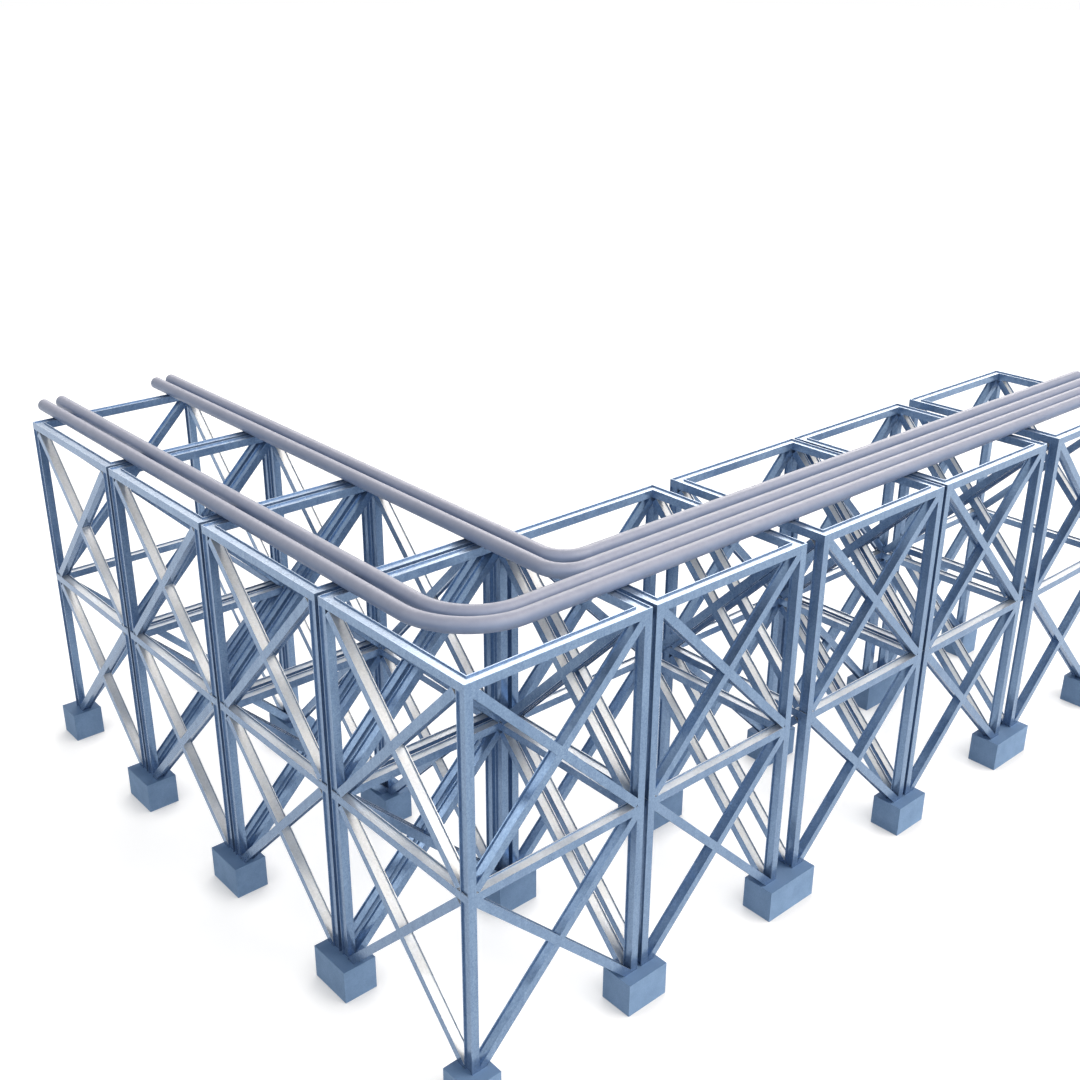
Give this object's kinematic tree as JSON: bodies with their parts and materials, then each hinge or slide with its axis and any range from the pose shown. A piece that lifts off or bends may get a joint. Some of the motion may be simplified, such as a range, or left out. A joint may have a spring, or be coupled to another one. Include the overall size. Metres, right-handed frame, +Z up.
{
  "type": "industrial pipe bridge",
  "caption": "L-shaped pipe rack of cross-braced square steel bays standing on plain concrete pads, with parallel pipes lying on top and bending round the corner.",
  "frame": {"origin": "outer corner of the rack, vertically below the outer corner post's edge, at the underside of the pads", "axes": "+X along the long arm, +Y along the short arm, +Z up"},
  "size_m": [16.7465, 12.99, 6.5494],
  "materials": {
    "galvanised_steel": "satin",
    "pipe_coating": "satin",
    "pad_concrete": "matte"
  },
  "bodies": {
    "root": {"corner_bay_front": "galvanised_steel", "corner_bay_left": "galvanised_steel", "corner_bay_rear": "galvanised_steel", "corner_bay_right": "galvanised_steel", "inner_corner_pad": "pad_concrete", "inner_pipe": "pipe_coating", "left_arm_inner_pads": "pad_concrete", "left_arm_outer_pads": "pad_concrete", "left_bay_1_front": "galvanised_steel", "left_bay_1_left": "galvanised_steel", "left_bay_1_rear": "galvanised_steel", "left_bay_1_right": "galvanised_steel", "left_bay_2_front": "galvanised_steel", "left_bay_2_left": "galvanised_steel", "left_bay_2_rear": "galvanised_steel", "left_bay_2_right": "galvanised_steel", "left_bay_3_front": "galvanised_steel", "left_bay_3_left": "galvanised_steel", "left_bay_3_rear": "galvanised_steel", "left_bay_3_right": "galvanised_steel", "outer_corner_pad": "pad_concrete", "outer_pipe": "pipe_coating", "right_arm_inner_pads": "pad_concrete", "right_arm_outer_pads": "pad_concrete", "right_bay_1_front": "galvanised_steel", "right_bay_1_left": "galvanised_steel", "right_bay_1_rear": "galvanised_steel", "right_bay_1_right": "galvanised_steel", "right_bay_2_front": "galvanised_steel", "right_bay_2_left": "galvanised_steel", "right_bay_2_rear": "galvanised_steel", "right_bay_2_right": "galvanised_steel", "right_bay_3_front": "galvanised_steel", "right_bay_3_left": "galvanised_steel", "right_bay_3_rear": "galvanised_steel", "right_bay_3_right": "galvanised_steel", "right_bay_4_front": "galvanised_steel", "right_bay_4_left": "galvanised_steel", "right_bay_4_rear": "galvanised_steel", "right_bay_4_right": "galvanised_steel", "second_pipe": "pipe_coating", "third_pipe": "pipe_coating"}
  },
  "joints": []
}
